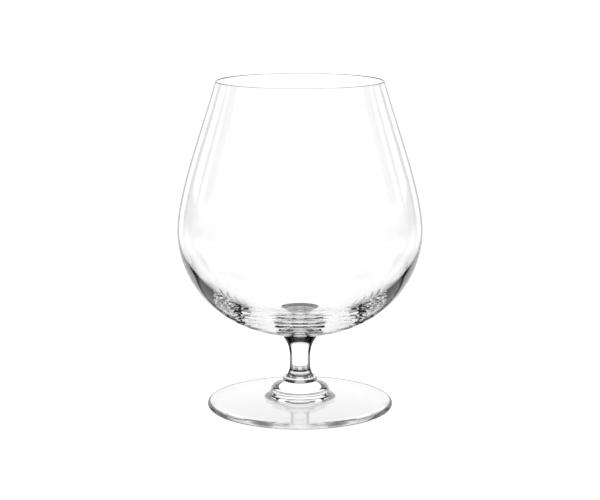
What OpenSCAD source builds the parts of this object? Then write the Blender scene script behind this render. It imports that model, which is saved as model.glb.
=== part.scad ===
// Large brandy snifter: a thin bowl on a short stem, a ring and a round foot.
// Millimetres. The table is z = 0, the axis of the glass is Z, and the origin is under its centre.
// Every piece is a solid of revolution. The pieces are fused on the real glass, so they meet face to face.

/* [Bowl] */
// Height of the lip above the table
glass_h = 150; // [140:1:165]
// Outer diameter of the lip
rim_d = 76.4; // [66:0.1:90]
// Outer diameter of the bowl at its widest
belly_d = 111.8; // [104:0.1:124]
// Height of the widest ring above the table
belly_z = 82; // [77:0.5:90]
// Height of the bowl's underside above the table, on the axis
underside_z = 34; // [32:0.1:37]
// Lean of the wall to the upright just under the lip, in degrees
rim_lean = 15.5; // [8:0.5:22]
// Thickness of the lip
lip_t = 1; // [0.8:0.05:1.4]
// Thickness of the wall at the widest ring
wall_t = 1.2; // [0.9:0.05:2]
// Thickness of the glass between bowl and stem, on the axis
base_t = 6; // [2.5:0.1:8]

/* [Stem] */
// Diameter where the stem spreads out against the bowl
stem_top_d = 19.2; // [14:0.1:24]
// Diameter of the waist, the thinnest place of the stem
waist_d = 9.3; // [6.5:0.1:11]
// Height of the waist above the table
waist_z = 21.2; // [19:0.1:25]
// Diameter where the stem ends on the ring
stem_end_d = 12.7; // [11.2:0.1:13]

/* [Ring] */
// Outer diameter of the ring
ring_d = 15.8; // [14.6:0.1:17]
// Thickness of the ring
ring_h = 2; // [1.6:0.1:3]
// Diameter of the groove between ring and foot
groove_d = 12.8; // [12:0.1:14]

/* [Foot] */
// Outer diameter of the foot
foot_d = 85.4; // [74:0.1:100]
// Thickness of the foot's round edge
foot_edge_t = 2.4; // [1.8:0.1:3]
// Height of the mound's top above the table
mound_h = 11.6; // [10.5:0.1:13]
// Diameter of the mound where its side is steepest
mound_d = 27; // [22:0.1:30]
// Height of the mound's steepest place above the table
mound_side_z = 7.6; // [6.2:0.1:8]
// Diameter where the mound has run out into the disc
spread_d = 36; // [34:0.1:44]
// Thickness of the disc where the mound runs out into it
spread_t = 4.6; // [3.4:0.1:5]
// Width of the flat ring that the foot stands on
standing_w = 5.5; // [2:0.1:8]
// Depth of the hollow inside that ring, on the axis
hollow_h = 2.4; // [0.4:0.1:2.8]

/* [Smoothness] */
// Steps along each long curve of a profile
curve_steps = 22; // [12:1:40]
// Steps along each short curve of a profile
short_steps = 8; // [6:1:16]
// Facets round the glass
round_fn = 96; // [48:8:192]

/* [Hidden] */
// Handles of the curves, as shares of the height or the half width that each curve spans
lip_handle_share = 0.28;
shoulder_handle_share = 0.26;
belly_handle_share = 0.46;
underside_handle_share = 0.69;
flare_out_share = 0.52;
flare_up_share = 0.26;
waist_up_share = 0.61;
waist_down_share = 0.7;
stem_end_out_share = 0.48;
stem_end_up_share = 0.26;
dome_top_share = 0.43;
dome_drop_share = 0.13;
dome_side_share = 0.05;
dome_rise_share = 0.63;
spread_down_share = 0.77;
spread_in_share = 0.42;

rim_r = rim_d / 2;
belly_r = belly_d / 2;
lip_r = lip_t / 2;
lip_z = glass_h - lip_r;
shoulder_h = lip_z - belly_z;
floor_z = underside_z + base_t;
stem_top_r = stem_top_d / 2;
waist_r = waist_d / 2;
stem_end_r = stem_end_d / 2;
ring_r = ring_d / 2;
ring_z = mound_h;
ring_top_z = ring_z + ring_h;
groove_r = groove_d / 2;
edge_r = foot_edge_t / 2;
edge_centre_r = foot_d / 2 - edge_r;
mound_r = mound_d / 2;
spread_r = spread_d / 2;
hollow_r = edge_centre_r - standing_w;
$fn = round_fn;

// A point on a cubic curve from a to d, drawn towards b and c
function on_curve(a, b, c, d, t) =
    pow(1 - t, 3) * a + 3 * t * pow(1 - t, 2) * b + 3 * t * t * (1 - t) * c + pow(t, 3) * d;

// The points of that curve between the shares from and to of its run
function curve(a, b, c, d, steps, from = 0, to = 1) =
    [for (i = [0 : steps]) on_curve(a, b, c, d, from + (to - from) * i / steps)];

// Points round an arc about a centre, from one angle to another
function arc(centre, radius, start, stop, steps) =
    [for (i = [0 : steps])
        let (a = start + (stop - start) * i / steps)
        centre + radius * [cos(a), sin(a)]];

// The wall between lip and widest ring, from the lip down, for a wall surface at these radii
function shoulder(top_r, wide_r) =
    let (handle = lip_handle_share * shoulder_h)
    curve(
        [top_r, lip_z],
        [top_r + handle * sin(rim_lean), lip_z - handle * cos(rim_lean)],
        [wide_r, belly_z + shoulder_handle_share * shoulder_h],
        [wide_r, belly_z],
        curve_steps);

// The four points that steer the lower bowl, from the widest ring to the axis
function belly_guides(wide_r, low_z) = [
    [wide_r, belly_z],
    [wide_r, belly_z - belly_handle_share * (belly_z - low_z)],
    [underside_handle_share * wide_r, low_z],
    [0, low_z]];

// The lower bowl between two shares of its run
function belly(wide_r, low_z, from, to, steps) =
    let (g = belly_guides(wide_r, low_z))
    curve(g[0], g[1], g[2], g[3], steps, from, to);

// The share of the outer curve's run at which it reaches the stem, found by halving
function seat_share(low = 0, high = 1, turns = 30) =
    let (
        middle = (low + high) / 2,
        g = belly_guides(belly_r, underside_z),
        reached = on_curve(g[0], g[1], g[2], g[3], middle)[0])
    turns == 0 ? middle
    : reached > stem_top_r ? seat_share(middle, high, turns - 1)
    : seat_share(low, middle, turns - 1);

// The part of the bowl's underside that the stem is fused to, from its edge to the axis
seat = belly(belly_r, underside_z, seat_share(), 1, short_steps);

// All points of a list but the first
function rest(points) = [for (i = [1 : len(points) - 1]) points[i]];

// The same points, last one first
function backwards(points) = [for (i = [len(points) - 1 : -1 : 0]) points[i]];

// Bowl: thin wall that thickens below, lip rounded in the flame
module bowl() {
    inside = concat(
        shoulder(rim_r - lip_t, belly_r - wall_t),
        rest(belly(belly_r - wall_t, floor_z, 0, 1, curve_steps)));
    outside = concat(
        shoulder(rim_r, belly_r),
        rest(belly(belly_r, underside_z, 0, seat_share(), curve_steps)),
        rest(seat));
    lip = arc([rim_r - lip_r, lip_z], lip_r, 180, 0, short_steps);
    color("white", 0.35)
        rotate_extrude()
            polygon(concat(backwards(rest(inside)), lip, rest(outside)));
}

// Stem: solid glass, spread out against the bowl's underside, waisted, a little wider at its end
module stem() {
    flare_h = seat[0][1] - waist_z;
    flare_w = stem_top_r - waist_r;
    foot_flare_h = waist_z - ring_top_z;
    foot_flare_w = stem_end_r - waist_r;
    flare = curve(
        seat[0],
        [stem_top_r - flare_out_share * flare_w, seat[0][1] - flare_up_share * flare_h],
        [waist_r, waist_z + waist_up_share * flare_h],
        [waist_r, waist_z],
        curve_steps);
    end = curve(
        [waist_r, waist_z],
        [waist_r, waist_z - waist_down_share * foot_flare_h],
        [stem_end_r - stem_end_out_share * foot_flare_w, ring_top_z + stem_end_up_share * foot_flare_h],
        [stem_end_r, ring_top_z],
        short_steps);
    color("gainsboro", 0.5)
        rotate_extrude()
            polygon(concat(backwards(seat), rest(flare), rest(end), [[0, ring_top_z]]));
}

// Ring: the bead of glass that joins stem and foot
module stem_ring() {
    top = [stem_end_r, ring_top_z];
    bottom = [groove_r, ring_z];
    bulge_z = ring_z + ring_h / 2;
    upper = curve(top, [ring_r, ring_top_z], [ring_r, ring_top_z], [ring_r, bulge_z], short_steps);
    lower = curve([ring_r, bulge_z], [ring_r, ring_z], [ring_r, ring_z], bottom, short_steps);
    color("lightsteelblue", 0.5)
        rotate_extrude()
            polygon(concat([[0, ring_top_z]], upper, rest(lower), [[0, ring_z]]));
}

// Foot: a mound under the ring that runs out into a disc with a round edge, hollow underneath
module foot() {
    dome_w = mound_r - groove_r;
    dome_h = mound_h - mound_side_z;
    spread_w = spread_r - mound_r;
    spread_h = mound_side_z - spread_t;
    dome = curve(
        [groove_r, mound_h],
        [groove_r + dome_top_share * dome_w, mound_h - dome_drop_share * dome_h],
        [mound_r - dome_side_share * dome_w, mound_side_z + dome_rise_share * dome_h],
        [mound_r, mound_side_z],
        curve_steps);
    spread = curve(
        [mound_r, mound_side_z],
        [mound_r, mound_side_z - spread_down_share * spread_h],
        [spread_r - spread_in_share * spread_w, spread_t],
        [spread_r, spread_t],
        curve_steps);
    edge = arc([edge_centre_r, edge_r], edge_r, 90, -90, short_steps);
    hollow = [for (i = [0 : short_steps])
        let (share = 1 - i / short_steps)
        [hollow_r * share, hollow_h * (1 - share * share)]];
    color("aliceblue", 0.5)
        rotate_extrude()
            polygon(concat([[0, mound_h]], dome, rest(spread), edge, hollow));
}

bowl();
stem();
stem_ring();
foot();
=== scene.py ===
"""A clear brandy snifter on a white ground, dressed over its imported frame.

The four pieces of glass are meshes of revolution, sized from the frame and drawn with the same curves as the
part's source, but with far finer steps, because clear glass bends light and shows every facet. Where two
pieces are fused the shared face is fully see-through, so that light passes on as in one block.
"""

import math

import bmesh
import bpy
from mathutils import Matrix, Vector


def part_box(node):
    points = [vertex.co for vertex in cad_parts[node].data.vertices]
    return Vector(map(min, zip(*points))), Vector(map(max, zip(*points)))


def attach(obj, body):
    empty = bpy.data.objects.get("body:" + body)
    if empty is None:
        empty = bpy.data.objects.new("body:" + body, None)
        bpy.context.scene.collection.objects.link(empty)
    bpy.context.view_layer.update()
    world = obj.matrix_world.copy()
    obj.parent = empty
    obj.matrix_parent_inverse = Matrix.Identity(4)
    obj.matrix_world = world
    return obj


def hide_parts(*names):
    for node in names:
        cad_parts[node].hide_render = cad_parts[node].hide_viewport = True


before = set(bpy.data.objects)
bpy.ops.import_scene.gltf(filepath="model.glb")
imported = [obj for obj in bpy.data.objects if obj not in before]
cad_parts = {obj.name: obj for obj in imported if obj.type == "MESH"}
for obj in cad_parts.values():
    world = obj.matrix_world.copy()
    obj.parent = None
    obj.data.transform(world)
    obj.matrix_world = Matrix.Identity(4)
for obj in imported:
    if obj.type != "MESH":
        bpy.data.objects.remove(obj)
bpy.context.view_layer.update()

MM = 0.001
WHITE = (1, 1, 1, 1)

# Facets round the glass, and steps along a long curve of a profile, a short one and those of the mound
ROUND_STEPS = 256
LONG_STEPS = 60
SHORT_STEPS = 16
MOUND_STEPS = 32

# How often the search for the stem's edge halves its range
HALVINGS = 40

# Points of a profile that are nearer to the axis than this lie on it
ON_AXIS = 1e-6 * MM

# Sizes of the bowl that the frame's boxes don't give
BELLY_Z = 82 * MM
LIP_D = 76.4 * MM
RIM_LEAN = math.radians(15.5)
LIP_T = 1 * MM
WALL_T = 1.2 * MM
BASE_T = 6 * MM
UNDERSIDE_Z = 34 * MM

# Sizes of the stem and the ring
WAIST_D = 9.3 * MM
WAIST_Z = 21.2 * MM
STEM_END_D = 12.7 * MM
GROOVE_D = 12.8 * MM

# Sizes of the foot
FOOT_EDGE_T = 2.4 * MM
MOUND_D = 27 * MM
MOUND_SIDE_Z = 7.6 * MM
SPREAD_D = 36 * MM
SPREAD_T = 4.6 * MM
STANDING_W = 5.5 * MM
HOLLOW_H = 2.4 * MM

# Handles of the curves, as shares of the height or the half width that each curve spans
LIP_HANDLE_SHARE = 0.28
SHOULDER_HANDLE_SHARE = 0.26
BELLY_HANDLE_SHARE = 0.46
UNDERSIDE_HANDLE_SHARE = 0.69
FLARE_OUT_SHARE, FLARE_UP_SHARE = 0.52, 0.26
WAIST_UP_SHARE, WAIST_DOWN_SHARE = 0.61, 0.7
STEM_END_OUT_SHARE, STEM_END_UP_SHARE = 0.48, 0.26
DOME_TOP_SHARE, DOME_DROP_SHARE = 0.43, 0.13
DOME_SIDE_SHARE, DOME_RISE_SHARE = 0.05, 0.63
SPREAD_DOWN_SHARE, SPREAD_IN_SHARE = 0.77, 0.42

# Faint ring waves on the outside of the bowl's thick base, such as turning leaves: their height, the way from
# crest to crest, the radii where they begin and end, and the way in which they fade there
WAVE_H = 0.038 * MM
WAVE_STEP = 4.4 * MM
WAVE_LOW_R = 11 * MM
WAVE_HIGH_R = 43 * MM
WAVE_FADE = 4 * MM

# The share of the bowl's lower curve at which fine steps begin, and how many there are
WAVE_SHARE = 0.4
WAVE_POINTS = 130

# Kinds of face: plain glass, glass with a painted dark edge where it is seen edge on, in place of the dark
# room that a real edge would mirror, and a face fused to the next piece
PLAIN, PAINTED_EDGE, FUSED = 0, 1, 2

GLASS_IOR = 1.5

# Cords, the faint unevenness that blown glass keeps: how many to the metre, and their height
CORD_SCALE = 40
CORD_H = 0.006 * MM

# Where the painted dark edge of a piece begins and where it is darkest, both given as one less the cosine of
# the angle between the line of sight and the upright on the surface
BOWL_EDGE_PAINT = 0.76, 0.84
STEM_EDGE_PAINT = 0.36, 0.52
FOOT_EDGE_PAINT = 0.4, 0.7

# The blend at which a Layer Weight gives one less that cosine
EVEN_BLEND = 0.5

# Camera, fitted to the ellipses of lip and foot in the photograph
IMAGE_W = 600
FOCAL_PX = 1768.28
SENSOR_W = 36
CAMERA_Y = -0.79255
CAMERA_Z = 0.22257
CAMERA_PITCH = math.radians(10.71)
CAMERA_NEAR = 10 * MM

# White panels of the studio: from and to in degrees aside of straight behind the glass, from and to in
# degrees above the horizon, strength, and softness of the border in degrees
PANELS = (
    (-10, 8, -40, 60, 1.2, 4),
    (-10, 38, -26, 60, 1.2, 2),
    (22, 60, -42, -28, 0.8, 4),
    (47, 60, 3, 18, 1.2, 1),
    (64, 72, 3, 18, 0.85, 1),
    (38, 80, -21, -6, 0.75, 8),
    (78, 190, -21, -8, 1.0, 3),
    (78, 102, -40, -10, 1.0, 3),
    (125, 190, -40, -10, 1.0, 6),
    (-10, 190, -100, -78, 0.9, 4),
)

# Strength of the dark between the panels
DARK = 0.02

# Floor: its width, its glow to the camera, and a gap that keeps it off the face that the foot stands on
FLOOR_SIZE = 40
FLOOR_GLOW = 0.93
FLOOR_GAP = 0.03 * MM

# Painted shadow of the glass on the floor, seen through the foot: the share of the light that gets past the
# floor right under the foot, and the radii between which the rest comes back
SHADE = 0.66
SHADE_FROM = 42 * MM
SHADE_TO = 60 * MM

# Soft lamp that gives the glass its shadow
LAMP_SIZE = 1.2
LAMP_Z = 1.6
LAMP_POWER = 9

# Turns that a ray of light may take inside the glass
BOUNCES = 24


def node_size(node):
    """Half the width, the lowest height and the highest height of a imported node."""
    low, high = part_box(node)
    return (high.x - low.x) / 2, low.z, high.z


BELLY_R, _, GLASS_H = node_size("bowl")
STEM_TOP_R, RING_TOP_Z, _ = node_size("stem")
RING_R, MOUND_H, _ = node_size("stem_ring")
FOOT_R, _, _ = node_size("foot")


def on_curve(guides, t):
    """The point at share t of the cubic curve that four guide points steer."""
    a, b, c, d = guides
    wa, wb, wc, wd = (1 - t) ** 3, 3 * t * (1 - t) ** 2, 3 * t * t * (1 - t), t ** 3
    return tuple(wa * a[i] + wb * b[i] + wc * c[i] + wd * d[i] for i in (0, 1))


def curve(guides, steps, start=0.0, stop=1.0):
    """Points of that curve between two shares of its run."""
    return [on_curve(guides, start + (stop - start) * i / steps) for i in range(steps + 1)]


def arc(centre, radius, start, stop, steps):
    """Points round an arc about a centre, between two angles in degrees."""
    turns = [math.radians(start + (stop - start) * i / steps) for i in range(steps + 1)]
    return [(centre[0] + radius * math.cos(a), centre[1] + radius * math.sin(a)) for a in turns]


def shoulder(top_r, wide_r):
    """The wall from the lip down to the widest ring."""
    lip_z = GLASS_H - LIP_T / 2
    height = lip_z - BELLY_Z
    handle = LIP_HANDLE_SHARE * height
    under_lip = (top_r + handle * math.sin(RIM_LEAN), lip_z - handle * math.cos(RIM_LEAN))
    above_belly = (wide_r, BELLY_Z + SHOULDER_HANDLE_SHARE * height)
    return curve(((top_r, lip_z), under_lip, above_belly, (wide_r, BELLY_Z)), LONG_STEPS)


def belly_guides(wide_r, low_z):
    """The guide points of the lower bowl, from the widest ring to the axis."""
    drop = BELLY_HANDLE_SHARE * (BELLY_Z - low_z)
    return (
        (wide_r, BELLY_Z),
        (wide_r, BELLY_Z - drop),
        (UNDERSIDE_HANDLE_SHARE * wide_r, low_z),
        (0, low_z))


def seat_share():
    """The share of the outer curve's run at which it reaches the stem, found by halving."""
    guides = belly_guides(BELLY_R, UNDERSIDE_Z)
    low, high = 0.0, 1.0
    for _ in range(HALVINGS):
        middle = (low + high) / 2
        if on_curve(guides, middle)[0] > STEM_TOP_R:
            low = middle
        else:
            high = middle
    return (low + high) / 2


def seat():
    """The part of the bowl's underside that the stem is fused to, from its edge to the axis."""
    return curve(belly_guides(BELLY_R, UNDERSIDE_Z), SHORT_STEPS, seat_share(), 1)


def smooth(value, start, stop):
    """Goes smoothly from 0 to 1 while value goes from start to stop."""
    share = min(max((value - start) / (stop - start), 0), 1)
    return share * share * (3 - 2 * share)


def waved(points):
    """The same points, moved in and out along the ring waves."""
    run = 0
    moved = [points[0]]
    for before, (r, z), after in zip(points, points[1:], points[2:]):
        run += math.dist(before, (r, z))
        slope = math.atan2(after[1] - before[1], after[0] - before[0])
        inner_fade = smooth(r, WAVE_LOW_R, WAVE_LOW_R + WAVE_FADE)
        outer_fade = 1 - smooth(r, WAVE_HIGH_R - WAVE_FADE, WAVE_HIGH_R)
        out = WAVE_H * inner_fade * outer_fade * math.sin(2 * math.pi * run / WAVE_STEP)
        moved.append((r - out * math.sin(slope), z + out * math.cos(slope)))
    return moved + [points[-1]]


def bowl_profile():
    """Thin wall that thickens below, with a rounded lip."""
    lip_r = LIP_T / 2
    rim_r = LIP_D / 2
    inner_wide = BELLY_R - WALL_T
    inside = shoulder(rim_r - LIP_T, inner_wide)
    inside += curve(belly_guides(inner_wide, UNDERSIDE_Z + BASE_T), LONG_STEPS)[1:]
    lip = arc((rim_r - lip_r, GLASS_H - lip_r), lip_r, 180, 0, SHORT_STEPS)
    guides = belly_guides(BELLY_R, UNDERSIDE_Z)
    outside = shoulder(rim_r, BELLY_R)
    outside += curve(guides, SHORT_STEPS, 0, WAVE_SHARE)[1:]
    outside += waved(curve(guides, WAVE_POINTS, WAVE_SHARE, seat_share()))[1:]
    return [(inside[::-1], PLAIN), (lip + outside[1:], PAINTED_EDGE), (seat(), FUSED)]


def stem_profile():
    """Solid glass, spread out against the bowl's underside, waisted, a little wider at its end."""
    joint = seat()
    waist_r, end_r = WAIST_D / 2, STEM_END_D / 2
    edge_z = joint[0][1]
    flare_h, flare_w = edge_z - WAIST_Z, STEM_TOP_R - waist_r
    end_h, end_w = WAIST_Z - RING_TOP_Z, end_r - waist_r
    waist = (waist_r, WAIST_Z)
    flare = curve((
        joint[0],
        (STEM_TOP_R - FLARE_OUT_SHARE * flare_w, edge_z - FLARE_UP_SHARE * flare_h),
        (waist_r, WAIST_Z + WAIST_UP_SHARE * flare_h),
        waist), LONG_STEPS)
    end = curve((
        waist,
        (waist_r, WAIST_Z - WAIST_DOWN_SHARE * end_h),
        (end_r - STEM_END_OUT_SHARE * end_w, RING_TOP_Z + STEM_END_UP_SHARE * end_h),
        (end_r, RING_TOP_Z)), LONG_STEPS)
    bottom = [(end_r, RING_TOP_Z), (0, RING_TOP_Z)]
    return [(joint[::-1], FUSED), (flare + end[1:], PAINTED_EDGE), (bottom, FUSED)]


def ring_profile():
    """The bead of glass between stem and foot."""
    end_r, groove_r = STEM_END_D / 2, GROOVE_D / 2
    middle_z = (MOUND_H + RING_TOP_Z) / 2
    top_corner, low_corner = (RING_R, RING_TOP_Z), (RING_R, MOUND_H)
    upper = curve(((end_r, RING_TOP_Z), top_corner, top_corner, (RING_R, middle_z)), SHORT_STEPS)
    lower = curve(((RING_R, middle_z), low_corner, low_corner, (groove_r, MOUND_H)), SHORT_STEPS)
    top = [(0, RING_TOP_Z), (end_r, RING_TOP_Z)]
    bottom = [(groove_r, MOUND_H), (0, MOUND_H)]
    return [(top, FUSED), (upper + lower[1:], PLAIN), (bottom, FUSED)]


def foot_profile():
    """A mound that runs out into a disc with a round edge, hollow underneath."""
    groove_r, mound_r, spread_r = GROOVE_D / 2, MOUND_D / 2, SPREAD_D / 2
    edge_r = FOOT_EDGE_T / 2
    edge_centre_r = FOOT_R - edge_r
    hollow_r = edge_centre_r - STANDING_W
    dome_w, dome_h = mound_r - groove_r, MOUND_H - MOUND_SIDE_Z
    spread_w, spread_h = spread_r - mound_r, MOUND_SIDE_Z - SPREAD_T
    side = (mound_r, MOUND_SIDE_Z)
    dome = curve((
        (groove_r, MOUND_H),
        (groove_r + DOME_TOP_SHARE * dome_w, MOUND_H - DOME_DROP_SHARE * dome_h),
        (mound_r - DOME_SIDE_SHARE * dome_w, MOUND_SIDE_Z + DOME_RISE_SHARE * dome_h),
        side), MOUND_STEPS)
    spread = curve((
        side,
        (mound_r, MOUND_SIDE_Z - SPREAD_DOWN_SHARE * spread_h),
        (spread_r - SPREAD_IN_SHARE * spread_w, SPREAD_T),
        (spread_r, SPREAD_T)), MOUND_STEPS)
    slope = [(spread_r + (edge_centre_r - spread_r) * i / SHORT_STEPS,
              SPREAD_T + (FOOT_EDGE_T - SPREAD_T) * i / SHORT_STEPS) for i in range(1, SHORT_STEPS)]
    edge = arc((edge_centre_r, edge_r), edge_r, 90, -90, SHORT_STEPS)
    shares = [1 - i / LONG_STEPS for i in range(LONG_STEPS + 1)]
    hollow = [(hollow_r * s, HOLLOW_H * (1 - s * s)) for s in shares]
    joint = [(0, MOUND_H), (groove_r, MOUND_H)]
    top = dome + spread[1:] + slope + edge[:1]
    underside = edge[-1:] + hollow
    return [(joint, FUSED), (top, PLAIN), (edge, PAINTED_EDGE), (underside, PLAIN)]


def joined(stretches):
    """One run of points from stretches that share their ends, and the kind of face between each two."""
    points, kinds = [], []
    for stretch, kind in stretches:
        fresh = stretch[1:] if points else stretch
        kinds += [kind] * (len(stretch) - 1)
        points += fresh
    return points, kinds


def lathe(name, stretches):
    """A closed mesh of revolution: the outline turned about Z."""
    points, kinds = joined(stretches)
    mesh = bmesh.new()
    rings = []
    turns = [2 * math.pi * k / ROUND_STEPS for k in range(ROUND_STEPS)]
    for r, z in points:
        if r < ON_AXIS:
            rings.append([mesh.verts.new((0, 0, z))] * ROUND_STEPS)
        else:
            rings.append([mesh.verts.new((r * math.cos(a), r * math.sin(a), z)) for a in turns])
    for above, below, kind in zip(rings, rings[1:], kinds):
        for k in range(ROUND_STEPS):
            after = (k + 1) % ROUND_STEPS
            corners = list(dict.fromkeys((above[k], above[after], below[after], below[k])))
            face = mesh.faces.new(corners)
            face.material_index = kind
            face.smooth = True
    bmesh.ops.recalc_face_normals(mesh, faces=mesh.faces)
    for edge in mesh.edges:
        kinds_here = {face.material_index for face in edge.link_faces}
        if len(kinds_here) > 1 and FUSED in kinds_here:
            edge.smooth = False
    data = bpy.data.meshes.new(name)
    mesh.to_mesh(data)
    mesh.free()
    piece = bpy.data.objects.new(name, data)
    bpy.context.scene.collection.objects.link(piece)
    return piece


class Sums:
    """Short names for the sums that a shader tree works out."""

    def __init__(self, tree):
        self.tree = tree

    def node(self, kind, **settings):
        """A new node with these settings."""
        made = self.tree.nodes.new(kind)
        for key, value in settings.items():
            setattr(made, key, value)
        return made

    def feed(self, socket, value):
        """Sets a socket to a number, or links it to another node's output."""
        if isinstance(value, (int, float)):
            socket.default_value = value
        else:
            self.tree.links.new(value, socket)

    def math(self, operation, *values):
        """The outcome of one operation on numbers or outputs."""
        made = self.node("ShaderNodeMath", operation=operation)
        for socket, value in zip(made.inputs, values):
            self.feed(socket, value)
        return made.outputs[0]

    def ramp(self, value, start, stop, low=0.0, high=1.0):
        """Goes smoothly from low to high while value goes from start to stop."""
        made = self.node("ShaderNodeMapRange", interpolation_type="SMOOTHSTEP")
        names = ("Value", "From Min", "From Max", "To Min", "To Max")
        for name, number in zip(names, (value, start, stop, low, high)):
            self.feed(made.inputs[name], number)
        return made.outputs[0]

    def band(self, value, start, stop, soft):
        """1 between start and stop, 0 outside, with soft borders centred on them."""
        rise = self.ramp(value, start - soft / 2, start + soft / 2)
        fall = self.ramp(value, stop - soft / 2, stop + soft / 2, 1.0, 0.0)
        return self.math("MULTIPLY", rise, fall)

    def grey(self, value):
        """A grey of that brightness."""
        made = self.node("ShaderNodeCombineColor")
        for socket in made.inputs:
            self.tree.links.new(value, socket)
        return made.outputs[0]

    def mixed(self, share, first, second):
        """The first shader where share is 0, the second where it is 1."""
        made = self.node("ShaderNodeMixShader")
        for socket, value in zip(made.inputs, (share, first, second)):
            self.tree.links.new(value, socket)
        return made.outputs[0]


def glass_skin(name):
    """Clear fire-polished glass with the faint cords of blown glass."""
    material = bpy.data.materials.new(name)
    material.use_nodes = True
    tree = material.node_tree
    shader = tree.nodes["Principled BSDF"]
    shader.inputs["Base Color"].default_value = WHITE
    shader.inputs["Transmission Weight"].default_value = 1
    shader.inputs["Roughness"].default_value = 0
    shader.inputs["IOR"].default_value = GLASS_IOR
    sums = Sums(tree)
    cords = sums.node("ShaderNodeTexNoise")
    cords.inputs["Scale"].default_value = CORD_SCALE
    tree.links.new(sums.node("ShaderNodeTexCoord").outputs["Object"], cords.inputs["Vector"])
    uneven = sums.node("ShaderNodeBump")
    uneven.inputs["Distance"].default_value = CORD_H
    tree.links.new(cords.outputs[0], uneven.inputs["Height"])
    tree.links.new(uneven.outputs["Normal"], shader.inputs["Normal"])
    return material


def painted_edge_glass(name, limits):
    """The same glass, darkened edge on. This stands in for the dark room that a real edge would mirror."""
    material = glass_skin(name)
    tree = material.node_tree
    sums = Sums(tree)
    facing = sums.node("ShaderNodeLayerWeight")
    facing.inputs["Blend"].default_value = EVEN_BLEND
    # Painted dark edge: the colour goes dark where the surface is seen edge on, in place of the dark room
    # that a real edge would mirror
    lit = sums.ramp(facing.outputs["Facing"], *limits, 1.0, 0.0)
    tree.links.new(sums.grey(lit), tree.nodes["Principled BSDF"].inputs["Base Color"])
    return material


def fused_face():
    """Where two pieces of glass are fused there is no surface left, so light goes straight through."""
    material = bpy.data.materials.new("fused_face")
    material.use_nodes = True
    tree = material.node_tree
    tree.nodes.clear()
    clear = tree.nodes.new("ShaderNodeBsdfTransparent")
    output = tree.nodes.new("ShaderNodeOutputMaterial")
    tree.links.new(clear.outputs["BSDF"], output.inputs["Surface"])
    return material


def glass_piece(name, node, stretches, painted_edge_skin):
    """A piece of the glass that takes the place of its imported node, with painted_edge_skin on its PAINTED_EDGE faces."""
    piece = lathe(name, stretches)
    for material in (SKIN, painted_edge_skin, SEAM):
        piece.data.materials.append(material)
    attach(piece, "root")
    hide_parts(node)


def camera():
    """The photograph's viewpoint."""
    data = bpy.data.cameras.new("camera")
    data.sensor_width = SENSOR_W
    data.lens = FOCAL_PX * SENSOR_W / IMAGE_W
    data.clip_start = CAMERA_NEAR
    place = bpy.data.objects.new("camera", data)
    place.location = (0, CAMERA_Y, CAMERA_Z)
    place.rotation_euler = (math.pi / 2 - CAMERA_PITCH, 0, 0)
    bpy.context.scene.collection.objects.link(place)
    bpy.context.scene.camera = place


def studio():
    """White panels round the glass, the same on both sides, and plain white to the camera."""
    world = bpy.data.worlds.new("studio")
    bpy.context.scene.world = world
    world.use_nodes = True
    tree = world.node_tree
    tree.nodes.clear()
    sums = Sums(tree)
    way = sums.node("ShaderNodeTexCoord").outputs["Generated"]
    parts = sums.node("ShaderNodeSeparateXYZ")
    tree.links.new(way, parts.inputs[0])
    aside = sums.math("ABSOLUTE", parts.outputs["X"])
    turn = sums.math("DEGREES", sums.math("ARCTAN2", aside, parts.outputs["Y"]))
    rise = sums.math("DEGREES", sums.math("ARCSINE", parts.outputs["Z"]))
    light = DARK
    for start, stop, low, high, strength, soft in PANELS:
        across = sums.band(turn, start, stop, soft)
        upward = sums.band(rise, low, high, soft)
        inside = sums.math("MULTIPLY", across, upward)
        light = sums.math("MAXIMUM", light, sums.math("MULTIPLY", inside, strength))
    lit = sums.node("ShaderNodeBackground")
    sums.feed(lit.inputs["Strength"], light)
    plain = sums.node("ShaderNodeBackground")
    for background in (lit, plain):
        background.inputs["Color"].default_value = WHITE
    seen = sums.node("ShaderNodeLightPath").outputs["Is Camera Ray"]
    output = sums.node("ShaderNodeOutputWorld")
    tree.links.new(sums.mixed(seen, lit.outputs[0], plain.outputs[0]), output.inputs["Surface"])


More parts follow.
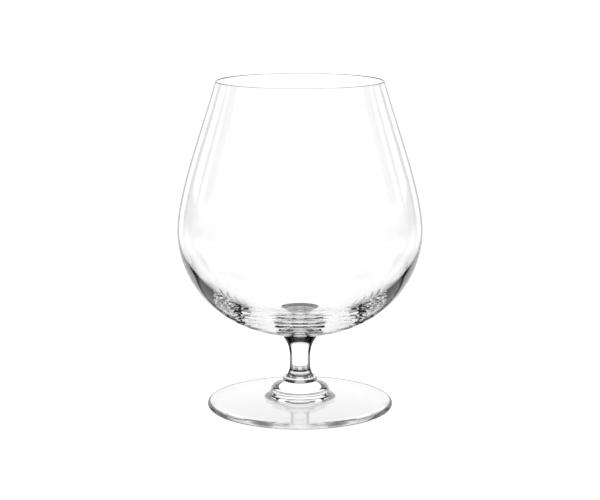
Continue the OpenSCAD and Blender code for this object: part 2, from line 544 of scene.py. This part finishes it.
def floor():
    """A white floor that keeps the shadow. Light in the glass passes it, dimmed right under the foot by a
    painted shadow of the glass.
    """
    material = bpy.data.materials.new("white_floor")
    material.use_nodes = True
    tree = material.node_tree
    tree.nodes.clear()
    sums = Sums(tree)
    matt = sums.node("ShaderNodeBsdfDiffuse")
    matt.inputs["Color"].default_value = WHITE
    glow = sums.node("ShaderNodeEmission")
    glow.inputs["Strength"].default_value = FLOOR_GLOW
    both = sums.node("ShaderNodeAddShader")
    tree.links.new(matt.outputs[0], both.inputs[0])
    tree.links.new(glow.outputs[0], both.inputs[1])
    clear = sums.node("ShaderNodeBsdfTransparent")
    away = sums.node("ShaderNodeVectorMath", operation="LENGTH")
    tree.links.new(sums.node("ShaderNodeTexCoord").outputs["Object"], away.inputs[0])
    # Painted shadow: light that passes the floor is dimmed right under the foot, as the glass's own shadow
    # would dim it
    dimmed = sums.ramp(away.outputs["Value"], SHADE_FROM, SHADE_TO, SHADE, 1.0)
    tree.links.new(sums.grey(dimmed), clear.inputs["Color"])
    seen = sums.node("ShaderNodeLightPath").outputs["Is Camera Ray"]
    output = sums.node("ShaderNodeOutputMaterial")
    tree.links.new(sums.mixed(seen, clear.outputs[0], both.outputs[0]), output.inputs["Surface"])
    data = bpy.data.meshes.new("floor")
    half = FLOOR_SIZE / 2
    corners = [(-half, -half, 0), (half, -half, 0), (half, half, 0), (-half, half, 0)]
    data.from_pydata(corners, [], [(0, 1, 2, 3)])
    plane = bpy.data.objects.new("floor", data)
    plane.data.materials.append(material)
    plane.location = (0, 0, -FLOOR_GAP)
    bpy.context.scene.collection.objects.link(plane)


def lamp():
    """A wide soft lamp overhead. It only lights the floor, so that the panels alone show in the glass."""
    data = bpy.data.lights.new("lamp", "AREA")
    data.size = LAMP_SIZE
    data.energy = LAMP_POWER
    place = bpy.data.objects.new("lamp", data)
    place.location = (0, 0, LAMP_Z)
    place.visible_camera = False
    place.visible_glossy = False
    place.visible_transmission = False
    bpy.context.scene.collection.objects.link(place)


def colour_settings():
    """Plain colours and enough bounces for the many turns that light takes inside thick glass."""
    scene = bpy.context.scene
    scene.view_settings.view_transform = "Standard"
    scene.cycles.max_bounces = BOUNCES
    scene.cycles.transmission_bounces = BOUNCES
    scene.cycles.glossy_bounces = BOUNCES
    scene.cycles.transparent_max_bounces = BOUNCES


camera()
colour_settings()
studio()
floor()
lamp()
SKIN = glass_skin("plain_skin")
SEAM = fused_face()
glass_piece("snifter_bowl", "bowl", bowl_profile(), painted_edge_glass("bowl_painted_edge", BOWL_EDGE_PAINT))
glass_piece("snifter_stem", "stem", stem_profile(), painted_edge_glass("stem_painted_edge", STEM_EDGE_PAINT))
glass_piece("snifter_ring", "stem_ring", ring_profile(), SKIN)
glass_piece("snifter_foot", "foot", foot_profile(), painted_edge_glass("foot_painted_edge", FOOT_EDGE_PAINT))
